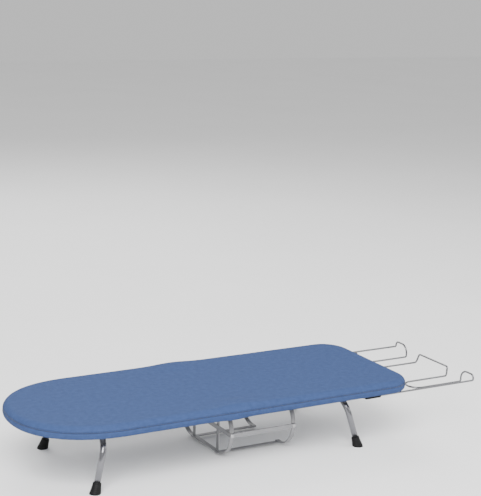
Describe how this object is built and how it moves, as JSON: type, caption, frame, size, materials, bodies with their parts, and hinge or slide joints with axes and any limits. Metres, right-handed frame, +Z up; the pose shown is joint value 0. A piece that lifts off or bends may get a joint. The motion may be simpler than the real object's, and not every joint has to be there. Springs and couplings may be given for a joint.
{
  "type": "folding table-top ironing board",
  "caption": "Folding table-top ironing board with a padded blue cover, splayed folding legs, an iron basket, a pull-out wire iron rest and a hanging hook.",
  "frame": {"origin": "on the table under the middle of the object's bounding box", "axes": "+X from the nose towards the square end and the iron rest, +Y across the board, +Z up"},
  "size_m": [1.028, 0.32, 0.143],
  "materials": {
    "cover_cloth": "woven cotton, blue",
    "pad_felt": "needled felt, pale blue-grey",
    "mesh_steel": "silver-grey enamel",
    "frame_paint": "dark grey enamel",
    "rail_steel": "satin",
    "rivet_steel": "bright",
    "hinge_steel": "satin",
    "strap_webbing": "woven tape, dark grey",
    "black_plastic": "moulded, fine grain",
    "bright_wire": "bright plated",
    "white_enamel": "gloss white",
    "basket_steel": "satin",
    "drawstring_cord": "braided, dark grey",
    "leg_paint": "silver lacquer",
    "black_rubber": "moulded, ribbed"
  },
  "bodies": {
    "nose_half": {"cover_nose": "cover_cloth", "pad_nose": "pad_felt", "mesh_nose": "mesh_steel", "frame_nose": "frame_paint", "fold_bar_nose": "mesh_steel", "rail_nose_left": "rail_steel", "rail_nose_right": "rail_steel", "tie_plate_nose": "rail_steel", "leg_saddles_nose": "rail_steel", "rivets_nose": "rivet_steel", "hinge_leaves_nose": "hinge_steel", "hinge_pins": "hinge_steel", "fold_end_caps_nose": "black_plastic"},
    "square_half": {"cover_square": "cover_cloth", "pad_square": "pad_felt", "mesh_square": "mesh_steel", "frame_square": "frame_paint", "fold_bar_square": "mesh_steel", "rail_square_left": "rail_steel", "rail_square_right": "rail_steel", "tie_plate_square": "rail_steel", "leg_saddles_square": "rail_steel", "rivets_square": "rivet_steel", "hinge_leaves_square": "hinge_steel", "fold_end_caps_square": "black_plastic", "fold_rod": "bright_wire", "fold_rod_clips": "white_enamel", "basket_end_ring": "basket_steel", "basket_open_ring_left": "basket_steel", "basket_open_ring_right": "basket_steel", "basket_front_bars": "basket_steel", "basket_side_bars": "basket_steel", "basket_cross_strip": "basket_steel", "basket_upright_strips": "basket_steel", "basket_rivets": "rivet_steel", "rest_clip_left": "black_plastic", "rest_clip_right": "black_plastic", "hook_bracket": "white_enamel", "hook_pin": "bright_wire", "cord_lock": "black_plastic", "drawstring": "drawstring_cord", "edge_strap": "strap_webbing"},
    "nose_leg": {"leg_tube_nose_left": "leg_paint", "leg_tube_nose_right": "leg_paint", "leg_connector_nose": "leg_paint", "leg_screws_nose": "rivet_steel", "foot_nose_left": "black_rubber", "foot_nose_right": "black_rubber"},
    "square_leg": {"leg_tube_square_left": "leg_paint", "leg_tube_square_right": "leg_paint", "leg_connector_square": "leg_paint", "leg_screws_square": "rivet_steel", "foot_square_left": "black_rubber", "foot_square_right": "black_rubber"},
    "iron_rest": {"iron_rest_wire": "bright_wire"},
    "hanging_hook": {"hook_wire": "bright_wire", "hook_tip": "black_rubber"}
  },
  "joints": [
    {"name": "fold_hinge", "type": "hinge", "parent": "nose_half", "child": "square_half", "pos_m": [-0.09, 0, 0.1405], "axis": [0, -1, 0], "range_deg": [0, 180]},
    {"name": "nose_leg_hinge", "type": "hinge", "parent": "nose_half", "child": "nose_leg", "pos_m": [-0.362, 0, 0.107], "axis": [0, -1, 0], "range_deg": [0, 93]},
    {"name": "square_leg_hinge", "type": "hinge", "parent": "square_half", "child": "square_leg", "pos_m": [0.187, 0, 0.107], "axis": [0, 1, 0], "range_deg": [0, 93]},
    {"name": "iron_rest_slide", "type": "slide", "parent": "square_half", "child": "iron_rest", "axis": [-1, 0, 0], "range_m": [0, 0.168]},
    {"name": "hook_swivel", "type": "hinge", "parent": "square_half", "child": "hanging_hook", "pos_m": [0.302, 0, 0.1085], "axis": [0, -1, 0], "range_deg": [0, 180]}
  ]
}
